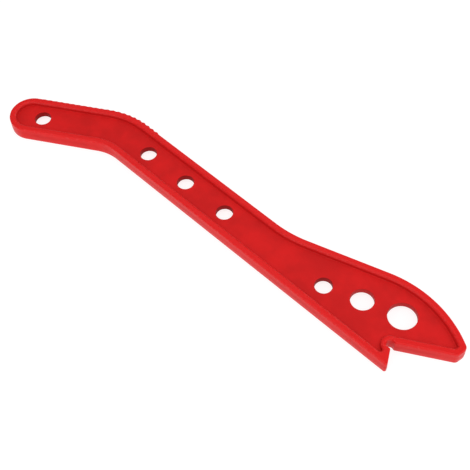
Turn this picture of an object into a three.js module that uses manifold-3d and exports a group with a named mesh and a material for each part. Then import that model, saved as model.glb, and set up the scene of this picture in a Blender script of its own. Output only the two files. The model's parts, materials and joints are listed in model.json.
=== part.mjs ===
// Push stick: one injection-moulded plastic plate that feeds narrow stock past a saw blade.
// A thin web is stiffened by a rim round its whole edge, proud of it on both faces.
// Built flat, in millimetres: +X from the handle to the nose, +Y towards the gripped edge,
// +Z up through the thickness, origin under the middle of the bounding box.
import * as THREE from 'three';
import { mergeVertices } from 'three/addons/utils/BufferGeometryUtils.js';
import Module from 'manifold-3d';

const wasm = await Module();
wasm.setup();

// Sections.
const THICKNESS = 12; // over both rims
const WEB_THICKNESS = 5;
const RIM_WIDTH = 5.2;
const POCKET_CORNER_RADIUS = 1; // least radius of the recess at an outward corner

// Handle and shaft: one strip of constant width that bends down to the handle.
// The drafting origin is the shaft hole nearest the bend, on the strip's centreline.
const STRIP_WIDTH = 35;
const HANDLE_ANGLE = 30.5; // degrees below the shaft
const BEND_X = -34.3; // where the two centrelines cross
const BEND_INSIDE_RADIUS = 35;
const HANDLE_LENGTH = 92.8; // along its centreline, from the bend to the round end

// Head: the upper edge rises to a crown and falls to a blunt nose.
const NECK = { x: 134.5, y: STRIP_WIDTH / 2, radius: 92 };
const CROWN = { x: 246.5, y: 52.5, radius: 87 };
const BROW = { x: 284.2, y: 29.2, radius: 4.5 };
const CHIN_X = 282.7;
const CHIN_RADIUS = 4;

// Notch that bears on the corner of the workpiece: a right angle, turned by NOTCH_ANGLE.
const NOTCH_APEX = { x: 244.2, y: -1.7 };
const NOTCH_ANGLE = 30;
const NOTCH_RELIEF_RADIUS = 2.9; // round relief that clears the corner of the notch
const RELIEF_INTO_TOOTH = 0.7; // its centre, from the notch's short side and from its long side
const RELIEF_BELOW_LONG_SIDE = 1;
const SHOULDER_RADIUS = 1.6; // eases the two edges where the notch opens into its relief
const TOOTH_TIP_RADIUS = 1.6;

// Round holes through the web.
const SMALL_HOLE = 13;
const SHAFT_HOLE_PITCH = 42;
const SHAFT_HOLES = 3;
const HANG_HOLE_FROM_BEND = 65.6;
const HEAD_HOLES = [
  { x: 180.2, y: 2.3, diameter: SMALL_HOLE },
  { x: 207.5, y: 12.1, diameter: 17.2 },
  { x: 236.1, y: 20.8, diameter: 21.2 },
];
const HOLE_SEGMENTS = 40;

// Grip ribs: a row of small rounded teeth across the upper edge of the handle and the bend.
const GRIP_PITCH = 4.94;
const GRIP_TEETH = 22;
const GRIP_HEIGHT = 0.75; // round the bend
const GRIP_END_HEIGHT = 0.3; // by the round end
const GRIP_LOW_TEETH = 10; // as low as the first
const GRIP_GROWING_TEETH = 7; // growing to the full height
const GRIP_START = 3.3; // past the round end
const STEPS_PER_TOOTH = 6;

const CHORD_ERROR = 0.02; // greatest gap between an arc and its chords
const CUT_OVERRUN = 2; // how far a cutting tool runs past the face it leaves

const RED = new THREE.Color(0.8, 0.13, 0.14);

const radians = THREE.MathUtils.degToRad;
const heading = (angle) => new THREE.Vector2(Math.cos(angle), Math.sin(angle));
const rightOf = (v) => new THREE.Vector2(v.y, -v.x);
const cross = (a, b) => a.x * b.y - a.y * b.x;

const handleAngle = radians(HANDLE_ANGLE);
const towardsHandle = heading(Math.PI + handleAngle);
const handleUnderside = rightOf(towardsHandle).negate();
const halfWidth = STRIP_WIDTH / 2;
const bendShift = halfWidth * Math.tan(handleAngle / 2);
const bendOutsideRadius = BEND_INSIDE_RADIUS + STRIP_WIDTH;

// A point on the handle, by its distance from the bend and its side of the centreline.
function onHandle(distance, side) {
  return new THREE.Vector2(BEND_X, 0)
    .addScaledVector(towardsHandle, distance)
    .addScaledVector(handleUnderside, side);
}

// The outline's corners, clockwise from the tip of the tooth under the notch.
const OUTER_BEND = 4; // its place in the list
const APEX = 9;
function outlineCorners() {
  const notchAngle = radians(NOTCH_ANGLE);
  const apex = new THREE.Vector2(NOTCH_APEX.x, NOTCH_APEX.y);
  const pushFaceLength = (apex.y + halfWidth) / Math.cos(notchAngle);
  const tip = apex.clone().addScaledVector(heading(notchAngle - Math.PI / 2), pushFaceLength);
  const chinY = apex.y + (CHIN_X - apex.x) * Math.tan(notchAngle);
  const corner = (point, radius) => ({ point, radius });
  return [
    corner(tip, TOOTH_TIP_RADIUS),
    corner(new THREE.Vector2(BEND_X + bendShift, -halfWidth), BEND_INSIDE_RADIUS),
    corner(onHandle(HANDLE_LENGTH, halfWidth), halfWidth),
    corner(onHandle(HANDLE_LENGTH, -halfWidth), halfWidth),
    corner(new THREE.Vector2(BEND_X - bendShift, halfWidth), bendOutsideRadius),
    corner(new THREE.Vector2(NECK.x, NECK.y), NECK.radius),
    corner(new THREE.Vector2(CROWN.x, CROWN.y), CROWN.radius),
    corner(new THREE.Vector2(BROW.x, BROW.y), BROW.radius),
    corner(new THREE.Vector2(CHIN_X, chinY), CHIN_RADIUS),
    corner(apex, 0),
  ];
}

// Moves every edge of a clockwise outline inwards and adjusts its corner radii to match.
function insetCorners(corners, inset) {
  const count = corners.length;
  const edges = corners.map(({ point }, i) => {
    const direction = corners[(i + 1) % count].point.clone().sub(point).normalize();
    return { direction, start: point.clone().addScaledVector(rightOf(direction), inset) };
  });
  return corners.map(({ radius }, i) => {
    const before = edges[(i + count - 1) % count];
    const after = edges[i];
    const gap = after.start.clone().sub(before.start);
    const turn = cross(before.direction, after.direction);
    const along = cross(gap, after.direction) / turn;
    const point = before.start.clone().addScaledVector(before.direction, along);
    const convex = turn < 0;
    const insetRadius = convex ? Math.max(radius - inset, POCKET_CORNER_RADIUS) : radius + inset;
    return { point, radius: insetRadius };
  });
}

// Points along an arc. A positive turn is anticlockwise.
function arcPoints(start, centre, turn) {
  const widestStep = 2 * Math.acos(1 - CHORD_ERROR / start.distanceTo(centre));
  const steps = Math.max(3, Math.ceil(Math.abs(turn) / widestStep));
  const points = [];
  for (let i = 0; i <= steps; i += 1) {
    points.push(start.clone().rotateAround(centre, (turn * i) / steps));
  }
  return points;
}

// Points round a corner: an arc tangent to both of its edges.
function cornerPoints(previous, corner, next) {
  const inward = corner.point.clone().sub(previous.point).normalize();
  const outward = next.point.clone().sub(corner.point).normalize();
  const turn = Math.atan2(cross(inward, outward), inward.dot(outward));
  const tangent = corner.radius * Math.tan(Math.abs(turn) / 2);
  const start = corner.point.clone().addScaledVector(inward, -tangent);
  const toCentre = rightOf(inward).multiplyScalar(-Math.sign(turn));
  const centre = start.clone().addScaledVector(toCentre, corner.radius);
  return arcPoints(start, centre, turn);
}

// Points round the notch's relief, from its long side over an eased shoulder, round the relief
// and over a second shoulder to its short side.
function reliefPoints() {
  const longSide = heading(radians(NOTCH_ANGLE));
  const shortSide = rightOf(longSide);
  const centre = new THREE.Vector2(NOTCH_APEX.x, NOTCH_APEX.y)
    .addScaledVector(shortSide, RELIEF_BELOW_LONG_SIDE)
    .addScaledVector(longSide, -RELIEF_INTO_TOOTH);
  const reach = NOTCH_RELIEF_RADIUS + SHOULDER_RADIUS;
  const fromLongSide = SHOULDER_RADIUS + RELIEF_BELOW_LONG_SIDE;
  const fromShortSide = SHOULDER_RADIUS - RELIEF_INTO_TOOTH;
  const firstSwing = Math.acos(fromLongSide / reach);
  const secondSwing = Math.acos(fromShortSide / reach);
  const firstShoulder = centre.clone()
    .addScaledVector(shortSide, -fromLongSide)
    .addScaledVector(longSide, reach * Math.sin(firstSwing));
  const secondShoulder = centre.clone()
    .addScaledVector(longSide, -fromShortSide)
    .addScaledVector(shortSide, reach * Math.sin(secondSwing));
  const start = firstShoulder.clone().addScaledVector(shortSide, SHOULDER_RADIUS);
  const intoRelief = start.clone().rotateAround(firstShoulder, -firstSwing);
  const turn = Math.PI / 2 + firstSwing + secondSwing;
  const outOfRelief = intoRelief.clone().rotateAround(centre, turn);
  return [
    ...arcPoints(start, firstShoulder, -firstSwing),
    ...arcPoints(intoRelief, centre, turn),
    ...arcPoints(outOfRelief, secondShoulder, -secondSwing),
  ];
}

// A place on the gripped edge, by its distance from the round end: along the handle,
// round the outside of the bend, then along the shaft.
function gripPlace(distance) {
  const bendTangent = bendOutsideRadius * Math.tan(handleAngle / 2);
  const endCentre = HANDLE_LENGTH - halfWidth;
  const handleRun = endCentre + bendShift - bendTangent;
  const bendRun = bendOutsideRadius * handleAngle;
  if (distance <= handleRun) {
    return { point: onHandle(endCentre - distance, -halfWidth), outward: handleUnderside.clone().negate() };
  }
  const bendEnd = new THREE.Vector2(BEND_X - bendShift + bendTangent, halfWidth);
  if (distance <= handleRun + bendRun) {
    const angle = (handleRun + bendRun - distance) / bendOutsideRadius;
    const centre = new THREE.Vector2(bendEnd.x, bendEnd.y - bendOutsideRadius);
    const outward = heading(Math.PI / 2 + angle);
    return { point: centre.addScaledVector(outward, bendOutsideRadius), outward };
  }
  const past = distance - handleRun - bendRun;
  return { point: new THREE.Vector2(bendEnd.x + past, bendEnd.y), outward: heading(Math.PI / 2) };
}

function gripPoints() {
  const steps = GRIP_TEETH * STEPS_PER_TOOTH;
  const points = [];
  for (let i = 0; i <= steps; i += 1) {
    const tooth = i / STEPS_PER_TOOTH;
    const growth = THREE.MathUtils.clamp((tooth - GRIP_LOW_TEETH) / GRIP_GROWING_TEETH, 0, 1);
    const height = THREE.MathUtils.lerp(GRIP_END_HEIGHT, GRIP_HEIGHT, growth);
    const place = gripPlace(GRIP_START + tooth * GRIP_PITCH);
    points.push(place.point.addScaledVector(place.outward, height * Math.sin(Math.PI * tooth) ** 2));
  }
  return points;
}

// A closed outline. Where points are given for a corner, they take the place of its arc.
function outline(corners, pointsAt = {}) {
  const count = corners.length;
  const points = corners.flatMap((corner, i) => {
    if (pointsAt[i]) return pointsAt[i];
    return cornerPoints(corners[(i + count - 1) % count], corner, corners[(i + 1) % count]);
  });
  const apart = (a, b) => a.distanceTo(b) > 1e-4;
  return points.filter((point, i) => apart(point, points[(i + 1) % points.length]));
}

function holes() {
  const list = [...HEAD_HOLES];
  for (let i = 0; i < SHAFT_HOLES; i += 1) {
    list.push({ x: i * SHAFT_HOLE_PITCH, y: 0, diameter: SMALL_HOLE });
  }
  const hang = onHandle(HANG_HOLE_FROM_BEND, 0);
  list.push({ x: hang.x, y: hang.y, diameter: SMALL_HOLE });
  return list;
}

// Solids.
function toSolid(geometry) {
  const bare = geometry.index ? geometry.toNonIndexed() : geometry.clone();
  bare.deleteAttribute('normal');
  bare.deleteAttribute('uv');
  const merged = mergeVertices(bare, 1e-5);
  const mesh = new wasm.Mesh({
    numProp: 3,
    vertProperties: new Float32Array(merged.attributes.position.array),
    triVerts: new Uint32Array(merged.index.array),
  });
  return new wasm.Manifold(mesh);
}

function toGeometry(solid) {
  const mesh = solid.getMesh();
  const geometry = new THREE.BufferGeometry();
  geometry.setAttribute('position', new THREE.BufferAttribute(mesh.vertProperties, 3));
  geometry.setIndex(new THREE.BufferAttribute(mesh.triVerts, 1));
  geometry.computeVertexNormals();
  return geometry;
}

// A plate of the given outline between two heights.
function plate(points, bottom, top) {
  const geometry = new THREE.ExtrudeGeometry(new THREE.Shape(points), {
    depth: top - bottom,
    bevelEnabled: false,
  });
  return toSolid(geometry.translate(0, 0, bottom));
}

function throughHole(x, y, diameter) {
  const length = THICKNESS + 2 * CUT_OVERRUN;
  const geometry = new THREE.CylinderGeometry(diameter / 2, diameter / 2, length, HOLE_SEGMENTS);
  geometry.rotateX(Math.PI / 2).translate(x, y, THICKNESS / 2);
  return toSolid(geometry);
}

function pushStickBody() {
  const corners = outlineCorners();
  const recess = outline(insetCorners(corners, RIM_WIDTH));
  const recessDepth = (THICKNESS - WEB_THICKNESS) / 2;
  const edge = outline(corners, { [OUTER_BEND]: gripPoints(), [APEX]: reliefPoints() });
  let body = plate(edge, 0, THICKNESS)
    .subtract(plate(recess, -CUT_OVERRUN, recessDepth))
    .subtract(plate(recess, THICKNESS - recessDepth, THICKNESS + CUT_OVERRUN));
  for (const hole of holes()) {
    body = body.subtract(throughHole(hole.x, hole.y, hole.diameter));
  }
  return toGeometry(body);
}

const geometry = pushStickBody();
geometry.computeBoundingBox();
const middle = geometry.boundingBox.getCenter(new THREE.Vector3());

const body = new THREE.Mesh(
  geometry,
  new THREE.MeshStandardMaterial({ color: RED, roughness: 0.42, metalness: 0 }),
);
body.name = 'push_stick_body';
body.position.set(-middle.x, -middle.y, 0);

const group = new THREE.Group();
group.add(body);

export default group;
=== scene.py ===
"""Push stick: a satin red plastic moulding, laid flat on a pale studio floor.

The body is drawn as one closed line on its parting plane, raised into half a shell by stepping
inwards and upwards, mirrored through the parting plane and given its plastic.
"""
import json
import math

import bmesh
import bpy
from bpy.props import FloatProperty, FloatVectorProperty, IntProperty, PointerProperty
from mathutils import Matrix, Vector

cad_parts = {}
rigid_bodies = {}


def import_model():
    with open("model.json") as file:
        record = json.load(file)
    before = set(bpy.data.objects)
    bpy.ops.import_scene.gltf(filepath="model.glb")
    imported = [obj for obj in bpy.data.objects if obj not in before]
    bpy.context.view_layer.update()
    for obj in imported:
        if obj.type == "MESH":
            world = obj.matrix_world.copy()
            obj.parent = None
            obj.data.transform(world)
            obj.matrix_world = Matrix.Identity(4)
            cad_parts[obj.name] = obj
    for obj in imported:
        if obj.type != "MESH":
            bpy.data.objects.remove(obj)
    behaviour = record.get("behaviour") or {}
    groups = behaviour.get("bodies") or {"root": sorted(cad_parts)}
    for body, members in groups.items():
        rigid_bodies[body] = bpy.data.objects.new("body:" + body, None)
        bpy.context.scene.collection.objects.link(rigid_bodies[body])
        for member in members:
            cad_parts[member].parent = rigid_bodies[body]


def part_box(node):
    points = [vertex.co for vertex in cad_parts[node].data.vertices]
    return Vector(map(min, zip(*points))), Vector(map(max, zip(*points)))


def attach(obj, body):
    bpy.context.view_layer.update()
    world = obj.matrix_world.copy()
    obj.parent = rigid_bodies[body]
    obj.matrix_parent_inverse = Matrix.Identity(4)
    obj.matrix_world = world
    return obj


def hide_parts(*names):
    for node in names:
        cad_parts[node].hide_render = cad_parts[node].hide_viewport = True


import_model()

bl_info = {
    "name": "Push Stick",
    "version": (1, 0, 0),
    "blender": (4, 5, 0),
    "location": "3D View > Sidebar > Push Stick",
    "description": "Builds a moulded push stick and the studio that it is shown in",
    "category": "Add Mesh",
}

MM = 0.001
NODE = "push_stick_body"
CAD_LOW, CAD_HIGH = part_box(NODE)
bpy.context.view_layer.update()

# Drafting points of the plan, in millimetres from the shaft hole nearest the bend.
BEND_X = -34.3
HANDLE_LENGTH = 92.8
NECK = (134.5, 92.0)  # along the upper edge, radius
CROWN = (246.5, 52.5, 87.0)
BROW = (284.2, 29.2, 4.5)
CHIN = (282.7, 4.0)  # along the notch's long side, radius
NOTCH_APEX = (244.2, -1.7)
NOTCH_RELIEF_RADIUS = 2.9
RELIEF_INTO_TOOTH = 0.7  # its centre, from the notch's short side and from its long side
RELIEF_BELOW_LONG_SIDE = 1.0
SHOULDER_RADIUS = 1.6  # eases the edges where the notch opens into its relief
RELIEF_RIM = 1.6  # flat top and outer rounding of the rim round the relief
TOOTH_TIP_RADIUS = 1.6
HANG_HOLE_FROM_BEND = 65.6
SHAFT_HOLE_PITCH = 42.0
SHAFT_HOLES = 3
HEAD_HOLES = ((180.2, 2.3, 13.0), (207.5, 12.1, 17.2), (236.1, 20.8, 21.2))

GRIP_LOW_TEETH = 10  # as low as the first
GRIP_GROWING_TEETH = 7  # growing to the full height

# Fineness of the drawing, in millimetres or counts.
CHORD_ERROR = 0.005
STEPS_PER_TOOTH = 16
ROUND_STEPS = 6
HOLE_STEPS = 96
SUPPORT = 0.15  # narrow flat ring that keeps a flat face shading flat beside a round one
RECESS_CORNER = 3.4  # least plan radius where the recess starts
NEAR = 1e-5  # metres within which two heights or two points count as one
SMOOTH_ANGLE = 32  # degrees; sharper edges than this stay sharp

# What the plastic's material reads from the body's points; rim also places a painted highlight and wall
# places painted shade.
MARKS = ("edge", "rim", "wall")
OUTSIDE = "outside"  # vertex group of the outer wall and its rounding
HEAD_LENGTH = 90.0  # millimetres back from the nose; the two widest holes lie within it
WIDE_HOLE_SHADE = 0.5  # strength of the painted shade on a wide hole's wall, against a small hole's
RECESS_WALL_SHADE = 0.45  # the same painted shade strength for the recess's walls

# Patterns in the plastic, as noise scales for each metre.
FLOW_SCALE = 55.0
SWELL_SCALE = 70.0
SCUFF_SCALE = 420.0
RUB_SCALE = 1400.0
SPARK_SCALE = 2600.0
RELIEF_HEIGHT = 0.05  # millimetres for a full step of the bump
SPECULAR_LEVEL = 0.12

# Numbers of the output sockets that are read.
WORLD_PLACE, OBJECT_PLACE = 0, 3
ATTRIBUTE_FACTOR = 2
MIXED_COLOUR = 2
HEIGHT_OF_PLACE = 2

# Softboxes on a dome: name, bearing from +X, elevation (degrees) and power (watts).
SOFTBOXES = (
    ("front", -90, 30, 4.4),
    ("front_right", -30, 30, 1.3),
    ("right", 30, 30, 4.5),
    ("back", 90, 30, 3.8),
    ("high_front", -90, 62, 3.0),
    ("high_front_right", -30, 62, 3.7),
    ("high_right", 30, 62, 1.4),
    ("high_left", 150, 62, 1.7),
    ("overhead", 0, 90, 2.3),
)
SOFTBOX_DISTANCE = 1.5  # metres from the middle of the floor
SOFTBOX_SIDE = 0.9
FLOOR_SIDE = 12.0
FLOOR_GAP = 0.0002  # keeps the floor clear of the part's underside


class PushStickSizes(bpy.types.PropertyGroup):
    """Sizes of the moulding that a maker would change."""

    thickness: FloatProperty(
        name="Thickness", description="Height over both rims",
        default=CAD_HIGH.z - CAD_LOW.z, min=4 * MM, subtype="DISTANCE", unit="LENGTH",
    )
    web: FloatProperty(
        name="Web", description="Thickness of the plate between the rims",
        default=5.0 * MM, min=1 * MM, subtype="DISTANCE", unit="LENGTH",
    )
    rim: FloatProperty(
        name="Rim", description="Width of the raised rim at its root",
        default=6.0 * MM, min=2 * MM, subtype="DISTANCE", unit="LENGTH",
    )
    strip: FloatProperty(
        name="Strip", description="Width of the handle and the shaft",
        default=35.0 * MM, min=20 * MM, subtype="DISTANCE", unit="LENGTH",
    )
    handle_angle: FloatProperty(
        name="Handle angle", description="How far the handle drops below the shaft",
        default=math.radians(30.5), subtype="ANGLE", unit="ROTATION",
    )
    notch_angle: FloatProperty(
        name="Notch angle", description="Turn of the right-angled notch from the lower edge",
        default=math.radians(30.0), subtype="ANGLE", unit="ROTATION",
    )
    bend_radius: FloatProperty(
        name="Bend radius", description="Radius of the inside of the bend",
        default=35.0 * MM, subtype="DISTANCE", unit="LENGTH",
    )
    small_hole: FloatProperty(
        name="Small hole", description="Diameter of the hanging hole and the shaft holes",
        default=13.0 * MM, subtype="DISTANCE", unit="LENGTH",
    )
    outer_round: FloatProperty(
        name="Outer round", description="Radius along the outside edges of the rim",
        default=1.1 * MM, subtype="DISTANCE", unit="LENGTH",
    )
    inner_round: FloatProperty(
        name="Inner round", description="Radius along the inside edges of the rim",
        default=2.2 * MM, subtype="DISTANCE", unit="LENGTH",
    )
    root_fillet: FloatProperty(
        name="Root fillet", description="Radius where the rim meets the web",
        default=0.5 * MM, subtype="DISTANCE", unit="LENGTH",
    )
    hole_round: FloatProperty(
        name="Hole round", description="Radius along the edges of the holes",
        default=0.35 * MM, subtype="DISTANCE", unit="LENGTH",
    )
    draft: FloatProperty(
        name="Draft", description="How far a wall leans in for each unit of its height",
        default=math.tan(math.radians(1.0)), min=0.0,
    )
    grip_pitch: FloatProperty(
        name="Grip pitch", description="Distance from one grip tooth to the next",
        default=4.94 * MM, subtype="DISTANCE", unit="LENGTH",
    )
    grip_height: FloatProperty(
        name="Grip height", description="How far the grip teeth stand out round the bend",
        default=0.75 * MM, subtype="DISTANCE", unit="LENGTH",
    )
    grip_end_height: FloatProperty(
        name="Grip end height", description="How far the grip teeth stand out by the round end",
        default=0.3 * MM, subtype="DISTANCE", unit="LENGTH",
    )
    grip_start: FloatProperty(
        name="Grip start", description="Smooth edge left between the round end and the first tooth",
        default=3.3 * MM, subtype="DISTANCE", unit="LENGTH",
    )
    grip_teeth: IntProperty(
        name="Grip teeth", description="Number of teeth along the handle and the bend",
        default=22, min=1,
    )


class PushStickFinish(bpy.types.PropertyGroup):
    """Colours and gloss of the plastic, with a painted highlight on the rim and painted shade on the
    steep inside walls.
    """

    red: FloatVectorProperty(
        name="Red", description="Colour of the textured web",
        default=(0.585, 0.009, 0.009), size=3, min=0.0, max=1.0, subtype="COLOR",
    )
    # Rim red is the web's red painted lighter: a painted highlight for the light that falls on the rim
    # tops.
    rim_red_painted_light: FloatVectorProperty(
        name="Rim red", description="Colour of the smoother plastic on the rim",
        default=(0.66, 0.013, 0.013), size=3, min=0.0, max=1.0, subtype="COLOR",
    )
    # Wall red is painted shade: the steep inside walls and the hole walls are painted a deeper red for
    # the shade that falls in them.
    wall_red_painted_shade: FloatVectorProperty(
        name="Wall red", description="Deeper colour of the steep inside walls and the holes",
        default=(0.28, 0.0015, 0.0015), size=3, min=0.0, max=1.0, subtype="COLOR",
    )
    scuffed: FloatVectorProperty(
        name="Scuffed red", description="Colour of the plastic where handling has dulled it",
        default=(0.66, 0.045, 0.045), size=3, min=0.0, max=1.0, subtype="COLOR",
    )
    web_roughness: FloatProperty(
        name="Web roughness", description="Roughness of the fine spark texture on the web",
        default=0.42, min=0.0, max=1.0, subtype="FACTOR",
    )
    rim_roughness: FloatProperty(
        name="Rim roughness", description="Roughness of the smoother rim and edges",
        default=0.24, min=0.0, max=1.0, subtype="FACTOR",
    )


class PushStickStudio(bpy.types.PropertyGroup):
    """Floor, lights and camera."""

    floor_colour: FloatVectorProperty(
        name="Floor", description="Colour of the floor",
        default=(0.25, 0.25, 0.25), size=3, min=0.0, max=1.0, subtype="COLOR",
    )
    floor_glow: FloatProperty(
        name="Floor glow", description="How strongly the floor is lit from below",
        default=0.82, min=0.0,
    )
    softboxes: FloatProperty(
        name="Softboxes", description="Strength of all the softboxes together",
        default=1.0, min=0.0,
    )
    sky: FloatProperty(
        name="Sky", description="Strength of the even white surroundings",
        default=1.14, min=0.0,
    )


# ---------------------------------------------------------------------------------- plan drawing

def heading(angle):
    return Vector((math.cos(angle), math.sin(angle)))


def right_of(direction):
    return Vector((direction.y, -direction.x))


def cross(a, b):
    return a.x * b.y - a.y * b.x


def turned(point, centre, angle):
    arm = point - centre
    cosine, sine = math.cos(angle), math.sin(angle)
    return centre + Vector((arm.x * cosine - arm.y * sine, arm.x * sine + arm.y * cosine))


class Plan:
    """Works out the outline's corners from the maker's sizes. Lengths are in metres."""

    def __init__(self, sizes):
        self.sizes = sizes
        self.half = sizes.strip / 2
        self.bend = Vector((BEND_X * MM, 0.0))
        self.along = heading(math.pi + sizes.handle_angle)
        self.under = -right_of(self.along)
        self.bend_shift = self.half * math.tan(sizes.handle_angle / 2)
        self.bend_outside = sizes.bend_radius + sizes.strip
        self.apex = Vector(NOTCH_APEX) * MM

    def on_handle(self, distance, side):
        return self.bend + self.along * distance + self.under * side

    def corners(self):
        """Corner points and radii, clockwise from the tip of the tooth under the notch."""
        angle = self.sizes.notch_angle
        push_face = (self.apex.y + self.half) / math.cos(angle)
        tip = self.apex + heading(angle - math.pi / 2) * push_face
        chin_y = self.apex.y + (CHIN[0] * MM - self.apex.x) * math.tan(angle)
        end = HANDLE_LENGTH * MM
        return [
            (tip, TOOTH_TIP_RADIUS * MM),
            (Vector((self.bend.x + self.bend_shift, -self.half)), self.sizes.bend_radius),
            (self.on_handle(end, self.half), self.half),
            (self.on_handle(end, -self.half), self.half),
            (Vector((self.bend.x - self.bend_shift, self.half)), self.bend_outside),
            (Vector((NECK[0] * MM, self.half)), NECK[1] * MM),
            (Vector(CROWN[:2]) * MM, CROWN[2] * MM),
            (Vector(BROW[:2]) * MM, BROW[2] * MM),
            (Vector((CHIN[0] * MM, chin_y)), CHIN[1] * MM),
            (self.apex, 0.0),
        ]

    def grip_place(self, distance):
        """Point and outward direction on the gripped edge, by its distance from the round end."""
        tangent = self.bend_outside * math.tan(self.sizes.handle_angle / 2)
        end_centre = HANDLE_LENGTH * MM - self.half
        handle_run = end_centre + self.bend_shift - tangent
        bend_run = self.bend_outside * self.sizes.handle_angle
        if distance <= handle_run:
            return self.on_handle(end_centre - distance, -self.half), -self.under
        bend_end = Vector((self.bend.x - self.bend_shift + tangent, self.half))
        if distance <= handle_run + bend_run:
            centre = bend_end - Vector((0.0, self.bend_outside))
            outward = heading(math.pi / 2 + (handle_run + bend_run - distance) / self.bend_outside)
            return centre + outward * self.bend_outside, outward
        return bend_end + Vector((distance - handle_run - bend_run, 0.0)), Vector((0.0, 1.0))

    def grip_points(self):
        sizes = self.sizes
        for i in range(sizes.grip_teeth * STEPS_PER_TOOTH + 1):
            point, outward = self.grip_place(sizes.grip_start + i * sizes.grip_pitch / STEPS_PER_TOOTH)
            growth = min(1.0, max(0.0, i / STEPS_PER_TOOTH - GRIP_LOW_TEETH) / GRIP_GROWING_TEETH)
            height = sizes.grip_end_height + (sizes.grip_height - sizes.grip_end_height) * growth
            yield point + outward * height * math.sin(math.pi * i / STEPS_PER_TOOTH) ** 2

    def holes(self):
        """Centre and radius of every round hole."""
        small = self.sizes.small_hole / 2
        yield self.on_handle(HANG_HOLE_FROM_BEND * MM, 0.0), small
        for i in range(SHAFT_HOLES):
            yield Vector((i * SHAFT_HOLE_PITCH * MM, 0.0)), small
        for x, y, diameter in HEAD_HOLES:
            yield Vector((x, y)) * MM, diameter * MM / 2


def inset_corners(corners, inset):
    """Moves every edge of a clockwise outline inwards, with its corner radii to match."""
    edges = []
    for i, (point, _) in enumerate(corners):
        direction = (corners[(i + 1) % len(corners)][0] - point).normalized()
        edges.append((point + right_of(direction) * inset, direction))
    moved = []
    for i, (_, radius) in enumerate(corners):
        before_start, before = edges[i - 1]
        after_start, after = edges[i]
        turn = cross(before, after)
        reach = cross(after_start - before_start, after) / turn
        new_radius = max(radius - inset, RECESS_CORNER * MM) if turn < 0 else radius + inset
        moved.append((before_start + before * reach, new_radius))
    return moved


class Pen:
    """Draws a line in edit mode: straight runs are extruded and arcs are spun."""

    def __init__(self, start, height):
        bpy.ops.mesh.select_all(action="DESELECT")
        bpy.ops.mesh.primitive_plane_add(size=MM, location=(start.x, start.y, height))
        bpy.ops.mesh.merge(type="CENTER")
        self.place = start.copy()
        self.height = height

    def run_to(self, point):
        step = point - self.place
        if step.length > NEAR:
            move = {"value": (step.x, step.y, 0.0)}
            bpy.ops.mesh.extrude_vertices_move(TRANSFORM_OT_translate=move)
            self.place = point.copy()

    def arc(self, centre, turn):
        radius = (self.place - centre).length
        widest = 2 * math.acos(1 - min(CHORD_ERROR * MM / radius, 1.0))
        steps = max(4, math.ceil(abs(turn) / widest))
        middle = (centre.x, centre.y, self.height)
        bpy.ops.mesh.spin(steps=steps, angle=-turn, center=middle, axis=(0.0, 0.0, 1.0))
        self.place = turned(self.place, centre, turn)


def corner_arc(previous, corner, following):
    """Start, centre and turn of the arc that rounds a corner."""
    point, radius = corner
    inward = (point - previous[0]).normalized()
    outward = (following[0] - point).normalized()
    turn = math.atan2(cross(inward, outward), inward.dot(outward))
    start = point - inward * radius * math.tan(abs(turn) / 2)
    centre = start + right_of(inward) * radius * -math.copysign(1.0, turn)
    return start, centre, turn


def draw_relief(pen, plan, inset):
    """The notch's round relief and its two eased shoulders, or the recess's line round them."""
    into_tooth, below = RELIEF_INTO_TOOTH * MM, RELIEF_BELOW_LONG_SIDE * MM
    relief, shoulder = NOTCH_RELIEF_RADIUS * MM, SHOULDER_RADIUS * MM
    if inset:
        relief, shoulder = relief + RELIEF_RIM * MM, RECESS_CORNER * MM
    long_side = heading(plan.sizes.notch_angle)
    short_side = right_of(long_side)
    centre = plan.apex + short_side * below - long_side * into_tooth
    reach = relief + shoulder
    first_swing = math.acos((inset + shoulder + below) / reach)
    second_swing = math.acos((inset + shoulder - into_tooth) / reach)
    first_shoulder = centre - short_side * (inset + shoulder + below)
    first_shoulder += long_side * reach * math.sin(first_swing)
    second_shoulder = centre - long_side * (inset + shoulder - into_tooth)
    second_shoulder += short_side * reach * math.sin(second_swing)
    pen.run_to(first_shoulder + short_side * shoulder)
    pen.arc(first_shoulder, -first_swing)
    pen.arc(centre, math.pi / 2 + first_swing + second_swing)
    pen.arc(second_shoulder, -second_swing)


def draw_outline(plan, height, inset=0.0):
    """Draws the closed outline, or the recess's line at an inset. Only the outline has teeth."""
    outer_bend, apex = 4, 9
    corners = plan.corners()
    if inset:
        corners = inset_corners(corners, inset)
    start, _, _ = corner_arc(corners[-1], corners[0], corners[1])
    pen = Pen(start, height)
    for i, corner in enumerate(corners):
        if i == outer_bend and not inset:
            for point in plan.grip_points():
                pen.run_to(point)
        elif i == apex:
            draw_relief(pen, plan, inset)
        else:
            arc_start, centre, turn = corner_arc(corners[i - 1], corner, corners[(i + 1) % len(corners)])
            if (arc_start - pen.place).dot(corner[0] - corners[i - 1][0]) < -NEAR * MM:
                raise ValueError(f"The roundings of outline corners {i - 1} and {i} overlap")
            pen.run_to(arc_start)
            pen.arc(centre, turn)
    pen.run_to(start)
    bpy.ops.mesh.select_linked()
    bpy.ops.mesh.remove_doubles(threshold=NEAR)


# ------------------------------------------------------------------------------- raising the shell

def edit_mesh():
    return bmesh.from_edit_mesh(bpy.context.edit_object.data)


def fill_facing_up():
    bpy.ops.mesh.edge_face_add()
    face = next(f for f in edit_mesh().faces if f.select)
    face.normal_update()
    if face.normal.z < 0:
        bpy.ops.mesh.flip_normals()
    bpy.ops.mesh.select_mode(type="FACE")


def step_in(inward, up):
    bpy.ops.mesh.inset(thickness=inward, depth=up, use_even_offset=True)


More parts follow.
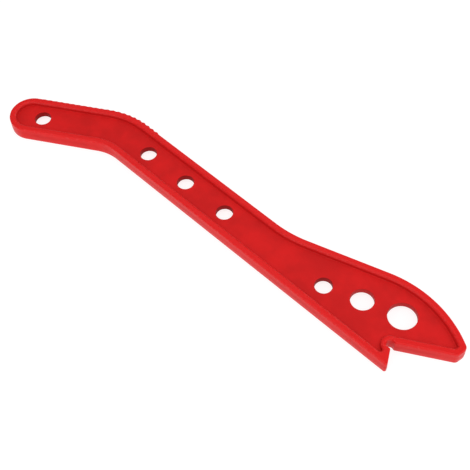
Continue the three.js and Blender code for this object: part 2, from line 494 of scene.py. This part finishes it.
def quarter(radius):
    """Steps of a quarter round that leaves a wall and ends flat: (across, along the wall)."""
    angles = [math.pi / 2 * i / ROUND_STEPS for i in range(ROUND_STEPS + 1)]
    for a, b in zip(angles, angles[1:]):
        yield radius * (math.cos(a) - math.cos(b)), radius * (math.sin(b) - math.sin(a))


def drop_cap():
    """Takes away the selected face and leaves its edges."""
    bpy.ops.mesh.delete(type="ONLY_FACE")
    bpy.ops.mesh.select_mode(type="VERT")


def raise_outside(plan):
    """Outer wall from the parting plane, rounded over on to the rim's flat top."""
    sizes = plan.sizes
    top = sizes.thickness / 2
    draw_outline(plan, 0.0)
    fill_facing_up()
    wall = top - sizes.outer_round
    step_in(wall * sizes.draft, wall)
    for across, along in quarter(sizes.outer_round):
        step_in(across, along)
    step_in(SUPPORT * MM, 0.0)
    drop_cap()


def sink_recess(plan):
    """Inside of the rim, from its flat top round and down to the web."""
    sizes = plan.sizes
    top = sizes.thickness / 2
    wall = top - sizes.web / 2 - sizes.inner_round - sizes.root_fillet
    inset = sizes.rim - sizes.root_fillet - wall * sizes.draft - sizes.inner_round - SUPPORT * MM
    draw_outline(plan, top, inset)
    fill_facing_up()
    step_in(SUPPORT * MM, 0.0)
    for along, across in reversed(list(quarter(sizes.inner_round))):
        step_in(along, -across)
    step_in(wall * sizes.draft, -wall)
    for across, along in quarter(sizes.root_fillet):
        step_in(across, -along)
    step_in(SUPPORT * MM, 0.0)
    drop_cap()


def bore_hole(centre, radius, sizes):
    """Wall of a hole from the parting plane up to the web's face, with its edge eased."""
    bpy.ops.mesh.select_all(action="DESELECT")
    middle = (centre.x, centre.y, 0.0)
    bpy.ops.mesh.primitive_circle_add(vertices=HOLE_STEPS, radius=radius, location=middle)
    rise = sizes.web / 2 - sizes.hole_round
    bpy.ops.mesh.extrude_region_move(TRANSFORM_OT_translate={"value": (0.0, 0.0, rise)})
    rings = list(quarter(sizes.hole_round)) + [(SUPPORT * MM, 0.0)]
    for across, along in rings:
        bpy.ops.mesh.extrude_region_move(TRANSFORM_OT_translate={"value": (0.0, 0.0, along)})
        grow = (radius + across) / radius
        bpy.ops.transform.resize(value=(grow, grow, 1.0), center_override=middle)
        radius += across


def fill_between_loops(height):
    """Closes the flat face that lies between every open loop at one height."""
    bpy.ops.mesh.select_mode(type="EDGE")
    bpy.ops.mesh.select_all(action="DESELECT")
    mesh = edit_mesh()
    for edge in mesh.edges:
        level = all(abs(v.co.z - height) < NEAR for v in edge.verts)
        edge.select_set(level and edge.is_boundary)
    bmesh.update_edit_mesh(bpy.context.edit_object.data)
    bpy.ops.mesh.fill(use_beauty=True)


def make_body(sizes):
    plan = Plan(sizes)
    bpy.ops.object.select_all(action="DESELECT")
    bpy.ops.mesh.primitive_plane_add(size=MM)
    body = bpy.context.object
    body.name = body.data.name = "moulded_body"
    bpy.ops.object.mode_set(mode="EDIT")
    bpy.ops.mesh.select_mode(type="VERT")
    bpy.ops.mesh.select_all(action="SELECT")
    bpy.ops.mesh.delete(type="VERT")
    raise_outside(plan)
    bpy.ops.mesh.select_all(action="SELECT")
    bpy.ops.object.vertex_group_assign_new()
    body.vertex_groups.active.name = OUTSIDE
    sink_recess(plan)
    for centre, radius in plan.holes():
        bore_hole(centre, radius, sizes)
    fill_between_loops(sizes.thickness / 2)
    fill_between_loops(sizes.web / 2)
    bpy.ops.object.mode_set(mode="OBJECT")
    mirror = body.modifiers.new("Other half", "MIRROR")
    mirror.use_axis = (False, False, True)
    mirror.merge_threshold = NEAR
    bpy.ops.object.modifier_apply(modifier=mirror.name)
    bpy.ops.object.mode_set(mode="EDIT")
    bpy.ops.mesh.select_all(action="SELECT")
    bpy.ops.mesh.normals_make_consistent(inside=False)
    low = [min(v.co[i] for v in edit_mesh().verts) for i in range(3)]
    high = [max(v.co[i] for v in edit_mesh().verts) for i in range(3)]
    shift = [(CAD_LOW[i] + CAD_HIGH[i] - low[i] - high[i]) / 2 for i in range(3)]
    bpy.ops.transform.translate(value=shift)
    bpy.ops.object.mode_set(mode="OBJECT")
    bpy.ops.object.shade_smooth_by_angle(angle=math.radians(SMOOTH_ANGLE))
    return body


# -------------------------------------------------------------------------------------- plastic

class Shade:
    """An output socket of a material. Arithmetic on it adds the Math nodes that it needs."""

    def __init__(self, tree, socket=None):
        self.tree = tree
        self.socket = socket

    def node(self, kind, settings, inputs, output=0):
        """Adds a node, makes its settings and then joins or fills its inputs."""
        node = self.tree.nodes.new(kind)
        for name, value in settings.items():
            setattr(node, name, value)
        for name, value in inputs.items():
            if isinstance(value, Shade):
                self.tree.links.new(value.socket, node.inputs[name])
            else:
                node.inputs[name].default_value = value
        return Shade(self.tree, node.outputs[output] if node.outputs else None)

    def maths(self, operation, first, second):
        return self.node("ShaderNodeMath", {"operation": operation}, {0: first, 1: second})

    def __add__(self, other):
        return self.maths("ADD", self, other)

    def __sub__(self, other):
        return self.maths("SUBTRACT", self, other)

    def __rsub__(self, other):
        return self.maths("SUBTRACT", other, self)

    def __mul__(self, other):
        return self.maths("MULTIPLY", self, other)

    __radd__ = __add__
    __rmul__ = __mul__

    def ramp(self, low, high):
        """0 below low, 1 above high and smooth between them."""
        kind = {"interpolation_type": "SMOOTHSTEP"}
        return self.node("ShaderNodeMapRange", kind, {0: self, 1: low, 2: high})

    def blend(self, first, second):
        """Goes from the first colour to the second as this value goes from 0 to 1."""
        inputs = {0: self, 6: first, 7: second}
        return self.node("ShaderNodeMix", {"data_type": "RGBA"}, inputs, MIXED_COLOUR)


def new_tree(name):
    material = bpy.data.materials.new(name)
    material.use_nodes = True
    material.node_tree.nodes.clear()
    return material, Shade(material.node_tree)


def make_plastic(finish):
    """Red plastic: spark texture on the web, smoother rims painted lighter as a painted highlight,
    painted shade on the steep inside walls and the holes, faint flow marks and light scuffs.
    """
    material, sheet = new_tree("red_plastic_satin")
    place = sheet.node("ShaderNodeTexCoord", {}, {}, OBJECT_PLACE)

    def noise(scale, detail, roughness=0.5, where=place):
        return sheet.node("ShaderNodeTexNoise", {}, {
            "Vector": where, "Scale": scale, "Detail": detail, "Roughness": roughness,
        })

    edge, smooth, wall = (
        sheet.node("ShaderNodeAttribute", {"attribute_name": name}, {}, ATTRIBUTE_FACTOR)
        for name in MARKS
    )
    along = sheet.node("ShaderNodeMapping", {}, {"Vector": place, "Scale": (0.08, 1.0, 1.0)})
    flow = noise(FLOW_SCALE, 3.0, 0.55)
    grain = noise(SPARK_SCALE, 2.0)
    swell = noise(SWELL_SCALE, 1.0)
    rubs = noise(RUB_SCALE, 3.0, 0.6, along)
    scuff = edge * noise(SCUFF_SCALE, 4.0, 0.65).ramp(0.52, 0.68)
    red = finish.red
    lighter = [c * 1.08 for c in red] + [1.0]
    darker = [c * 0.90 for c in red] + [1.0]
    web = flow.ramp(0.3, 0.7).blend(darker, lighter)
    # Painted highlight: the rim is painted a lighter red than the web.
    body = smooth.blend(web, [*finish.rim_red_painted_light, 1.0])
    # Painted shade: steep inside walls and hole walls are darkened towards the wall red.
    body = wall.blend(body, [*finish.wall_red_painted_shade, 1.0])
    colour = (scuff * 0.55).blend(body, [*finish.scuffed, 1.0])
    span = finish.rim_roughness - finish.web_roughness
    gloss = smooth * span + wall * 0.2 + finish.web_roughness
    gloss = gloss + (flow - 0.5) * 0.10 + rubs.ramp(0.55, 0.75) * 0.06 + scuff * 0.15
    height = grain * (1.0 - smooth * 0.7) * 0.16 + swell * 1.2 - rubs.ramp(0.6, 0.75) * 0.03
    relief = sheet.node("ShaderNodeBump", {}, {
        "Strength": 1.0, "Distance": RELIEF_HEIGHT * MM, "Height": height,
    })
    surface = sheet.node("ShaderNodeBsdfPrincipled", {}, {
        "Base Color": colour, "Roughness": gloss, "Normal": relief, "IOR": 1.49,
        "Specular IOR Level": SPECULAR_LEVEL,
    })
    sheet.node("ShaderNodeOutputMaterial", {}, {"Surface": surface})
    return material


def mark_edges(body, sizes):
    """Stores how much each point belongs to a worn edge, the smooth rim, which also takes a painted
    highlight, and a steep inside wall, which takes painted shade.
    """
    data = body.data
    middle = (CAD_LOW.z + CAD_HIGH.z) / 2
    web_face, top = sizes.web / 2, sizes.thickness / 2
    outside = body.vertex_groups[OUTSIDE].index
    for name in MARKS:
        data.attributes.new(name, "FLOAT", "POINT")
    marks = [data.attributes[name].data for name in MARKS]
    for vertex, worn, polished_and_painted_light, steep in zip(data.vertices, *marks):
        height = abs(vertex.co.z - middle)
        tilt = abs(vertex.normal.z)
        near_top = max(0.0, 1.0 - (top - height) / (2 * sizes.outer_round))
        worn.value = near_top * min(1.0, 4 * (1.0 - tilt))
        polished_and_painted_light.value = min(1.0, max(0.0, (height - web_face) / sizes.root_fillet))
        inside = all(group.group != outside for group in vertex.groups)
        # Painted shade strength: full in the small holes, less in the wide head holes and on the recess
        # walls.
        depth = RECESS_WALL_SHADE
        if height < web_face:
            depth = WIDE_HOLE_SHADE if vertex.co.x > CAD_HIGH.x - HEAD_LENGTH * MM else 1.0
        steep.value = depth * min(1.0, 1.5 * (1.0 - tilt)) if inside else 0.0


# ----------------------------------------------------------------------------------- operators

class PUSHSTICK_OT_body(bpy.types.Operator):
    """Model the moulded body and give it its plastic"""
    bl_idname = "push_stick.body"
    bl_label = "Moulded body"

    def execute(self, context):
        body = make_body(context.scene.push_stick_sizes)
        mark_edges(body, context.scene.push_stick_sizes)
        body.data.materials.append(make_plastic(context.scene.push_stick_finish))
        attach(body, "root")
        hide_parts(NODE)
        return {"FINISHED"}


class PUSHSTICK_OT_studio(bpy.types.Operator):
    """Set the floor, the lights and the camera"""
    bl_idname = "push_stick.studio"
    bl_label = "Studio"

    def execute(self, context):
        studio = context.scene.push_stick_studio
        make_floor(studio)
        make_sky(context.scene, studio)
        for name, bearing, elevation, power in SOFTBOXES:
            add_softbox(name, bearing, elevation, power * studio.softboxes)
        place_camera(context.scene)
        return {"FINISHED"}


def make_floor(studio):
    bpy.ops.object.select_all(action="DESELECT")
    bpy.ops.mesh.primitive_plane_add(size=FLOOR_SIDE, location=(0.0, 0.0, CAD_LOW.z - FLOOR_GAP))
    floor = bpy.context.object
    floor.name = "floor"
    material, sheet = new_tree("floor_white")
    surface = sheet.node("ShaderNodeBsdfPrincipled", {}, {
        "Base Color": [*studio.floor_colour, 1.0], "Roughness": 0.9, "Specular IOR Level": 0.1,
        "Emission Color": (1.0, 1.0, 1.0, 1.0), "Emission Strength": studio.floor_glow,
    })
    sheet.node("ShaderNodeOutputMaterial", {}, {"Surface": surface})
    floor.data.materials.append(material)


def make_sky(scene, studio):
    """Even surroundings, bright at the horizon and darker overhead."""
    world = bpy.data.worlds.new("studio")
    world.use_nodes = True
    world.node_tree.nodes.clear()
    sheet = Shade(world.node_tree)
    place = sheet.node("ShaderNodeTexCoord", {}, {}, WORLD_PLACE)
    height = sheet.node("ShaderNodeSeparateXYZ", {}, {0: place}, HEIGHT_OF_PLACE)
    shade = height.ramp(0.1, 0.45).blend((1.0, 1.0, 1.0, 1.0), (0.25, 0.25, 0.25, 1.0))
    light = sheet.node("ShaderNodeBackground", {}, {"Color": shade, "Strength": studio.sky})
    sheet.node("ShaderNodeOutputWorld", {}, {"Surface": light})
    scene.world = world


def add_softbox(name, bearing, elevation, power):
    across = heading(math.radians(bearing)) * math.cos(math.radians(elevation))
    direction = Vector((across.x, across.y, math.sin(math.radians(elevation))))
    bpy.ops.object.light_add(type="AREA", location=direction * SOFTBOX_DISTANCE)
    light = bpy.context.object
    light.name = name
    light.data.shape = "SQUARE"
    light.data.size = SOFTBOX_SIDE
    light.data.energy = power
    light.rotation_euler = (-direction).to_track_quat("-Z", "Y").to_euler()


def place_camera(scene):
    bpy.ops.object.camera_add(
        location=(0.30382, -0.26435, 0.56611),
        rotation=[math.radians(turn) for turn in (34.5513, 2.1012, 44.3289)],
    )
    camera = bpy.context.object
    camera.data.lens = 70.618
    camera.data.sensor_width = 36.0
    scene.camera = camera
    scene.view_settings.view_transform = "Standard"


class PUSHSTICK_PT_panel(bpy.types.Panel):
    """Lists the push stick's makers with their sizes"""
    bl_idname = "PUSHSTICK_PT_panel"
    bl_label = "Push Stick"
    bl_space_type = "VIEW_3D"
    bl_region_type = "UI"
    bl_category = "Push Stick"

    def draw(self, context):
        scene = context.scene
        groups = (
            (PUSHSTICK_OT_body, (scene.push_stick_sizes, scene.push_stick_finish)),
            (PUSHSTICK_OT_studio, (scene.push_stick_studio,)),
        )
        for maker, settings in groups:
            self.layout.operator(maker.bl_idname)
            for group in settings:
                for name in group.bl_rna.properties.keys():
                    if name not in {"rna_type", "name"}:
                        self.layout.prop(group, name)


CLASSES = (
    PushStickSizes, PushStickFinish, PushStickStudio,
    PUSHSTICK_OT_body, PUSHSTICK_OT_studio, PUSHSTICK_PT_panel,
)


def register():
    for kind in CLASSES:
        bpy.utils.register_class(kind)
    bpy.types.Scene.push_stick_sizes = PointerProperty(type=PushStickSizes)
    bpy.types.Scene.push_stick_finish = PointerProperty(type=PushStickFinish)
    bpy.types.Scene.push_stick_studio = PointerProperty(type=PushStickStudio)


def unregister():
    del bpy.types.Scene.push_stick_studio
    del bpy.types.Scene.push_stick_finish
    del bpy.types.Scene.push_stick_sizes
    for kind in reversed(CLASSES):
        bpy.utils.unregister_class(kind)


def main():
    register()
    bpy.ops.push_stick.body()
    bpy.ops.push_stick.studio()


if __name__ == "__main__":
    main()
